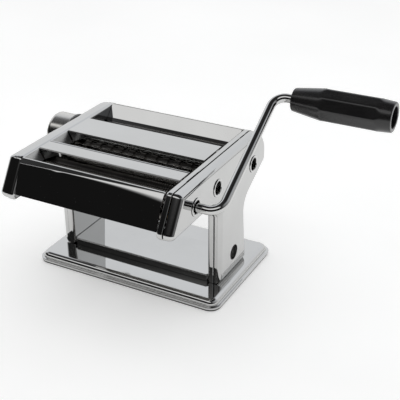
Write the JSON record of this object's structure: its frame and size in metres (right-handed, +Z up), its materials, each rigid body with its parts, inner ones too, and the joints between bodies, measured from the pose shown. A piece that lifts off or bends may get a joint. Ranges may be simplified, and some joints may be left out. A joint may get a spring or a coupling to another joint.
{
  "type": "pasta roller machine",
  "caption": "Hand-cranked pasta roller machine: chrome side housings on a base, smooth rollers, ribbon cutters, thickness dial and removable crank.",
  "frame": {"origin": "centre of the base's footprint, on the table's surface", "axes": "+X to the crank side, along the rollers; +Y to the rear, away from the cutters' overhang; +Z up"},
  "size_m": [0.3538, 0.1963, 0.2079],
  "materials": {
    "chrome_sheet": "mirror-polished plate on formed sheet and rod",
    "ground_steel": "finely ground and plated rollers and cutters",
    "satin_steel": "plain satin steel",
    "gear_steel": "machined, lightly oiled",
    "bearing_bronze": "sintered bronze",
    "rubber": "matte black sheet",
    "black_plastic": "semi-gloss moulded black"
  },
  "bodies": {
    "frame": {"base_pad": "rubber", "base_pan": "chrome_sheet", "cross_plate": "chrome_sheet", "side_frame_right": "chrome_sheet", "side_frame_left": "chrome_sheet", "side_cover_right": "chrome_sheet", "side_cover_left": "chrome_sheet", "crank_bezel_front": "chrome_sheet", "crank_bezel_middle": "chrome_sheet", "crank_bezel_rear": "chrome_sheet", "front_guard": "chrome_sheet", "divider_sheet": "chrome_sheet", "top_sheet": "chrome_sheet", "hopper_wall": "chrome_sheet", "rear_guard": "chrome_sheet", "clamp_socket": "satin_steel", "fine_comb_rear": "satin_steel", "fine_comb_front": "satin_steel", "wide_comb_rear": "satin_steel", "wide_comb_front": "satin_steel", "scraper_front": "satin_steel", "scraper_rear": "satin_steel", "tie_rod_front": "satin_steel", "tie_rod_middle": "satin_steel", "tie_rod_rear": "satin_steel", "tie_nut_front_right": "satin_steel", "tie_nut_front_left": "satin_steel", "tie_nut_middle_right": "satin_steel", "tie_nut_middle_left": "satin_steel", "tie_nut_rear_right": "satin_steel", "tie_nut_rear_left": "satin_steel", "dial_plate": "satin_steel", "fine_bearing_right": "bearing_bronze", "fine_bearing_left": "bearing_bronze", "wide_bearing_right": "bearing_bronze", "wide_bearing_left": "bearing_bronze", "rear_roller_bush_right": "bearing_bronze", "rear_roller_bush_left": "bearing_bronze"},
    "fine_drive": {"fine_cutter_drive": "ground_steel", "fine_gear_drive": "gear_steel"},
    "fine_idle": {"fine_cutter_idle": "ground_steel", "fine_gear_idle": "gear_steel"},
    "wide_drive": {"wide_cutter_drive": "ground_steel", "wide_gear_drive": "gear_steel"},
    "wide_idle": {"wide_cutter_idle": "ground_steel", "wide_gear_idle": "gear_steel"},
    "drive_roller": {"rear_roller": "ground_steel", "rear_roller_gear": "gear_steel"},
    "carriage": {"front_roller_bush_right": "bearing_bronze", "front_roller_bush_left": "bearing_bronze"},
    "idle_roller": {"front_roller": "ground_steel", "front_roller_gear": "gear_steel"},
    "dial_spindle": {"dial_shaft": "satin_steel"},
    "dial": {"dial_knob": "chrome_sheet"},
    "crank": {"crank_rod": "chrome_sheet", "grip_rivet": "chrome_sheet"},
    "crank_grip": {"grip": "black_plastic"}
  },
  "joints": [
    {"name": "fine_cutter_spin", "type": "hinge", "parent": "frame", "child": "fine_drive", "pos_m": [0, -0.0828, 0.122], "axis": [1, 0, 0], "continuous": true},
    {"name": "fine_idle_spin", "type": "hinge", "parent": "frame", "child": "fine_idle", "pos_m": [0, -0.1013, 0.122], "axis": [1, 0, 0], "continuous": true},
    {"name": "wide_cutter_spin", "type": "hinge", "parent": "frame", "child": "wide_drive", "pos_m": [0, -0.0405, 0.122], "axis": [1, 0, 0], "continuous": true},
    {"name": "wide_idle_spin", "type": "hinge", "parent": "frame", "child": "wide_idle", "pos_m": [0, -0.059, 0.122], "axis": [1, 0, 0], "continuous": true},
    {"name": "roller_spin", "type": "hinge", "parent": "frame", "child": "drive_roller", "pos_m": [0, 0.0385, 0.1131], "axis": [1, 0, 0], "continuous": true},
    {"name": "nip_slide", "type": "slide", "parent": "frame", "child": "carriage", "axis": [0, 1, 0], "range_m": [0, 0.00225]},
    {"name": "idle_roller_spin", "type": "hinge", "parent": "carriage", "child": "idle_roller", "pos_m": [0, 0.00174, 0.1205], "axis": [1, 0, 0], "continuous": true},
    {"name": "dial_turn", "type": "hinge", "parent": "frame", "child": "dial_spindle", "pos_m": [-0.1, 0.00286, 0.1205], "axis": [-1, 0, 0], "range_deg": [0, 288]},
    {"name": "dial_pull", "type": "slide", "parent": "dial_spindle", "child": "dial", "axis": [-1, 0, 0], "range_m": [0, 0.004], "stiffness_N_per_m": 400, "springref_m": -0.001},
    {"name": "crank_pull", "type": "slide", "parent": "fine_drive", "child": "crank", "axis": [1, 0, 0], "range_m": [0, 0.03]},
    {"name": "grip_spin", "type": "hinge", "parent": "crank", "child": "crank_grip", "pos_m": [0.18, 0.03133, 0.19221], "axis": [1, 0, 0], "continuous": true}
  ],
  "couplings": [
    {"joint": "fine_idle_spin", "follows": "fine_cutter_spin", "ratio": -1},
    {"joint": "wide_idle_spin", "follows": "wide_cutter_spin", "ratio": -1},
    {"joint": "idle_roller_spin", "follows": "roller_spin", "ratio": -1},
    {"joint": "dial_turn", "follows": "nip_slide", "rad_per_m": 2234}
  ]
}
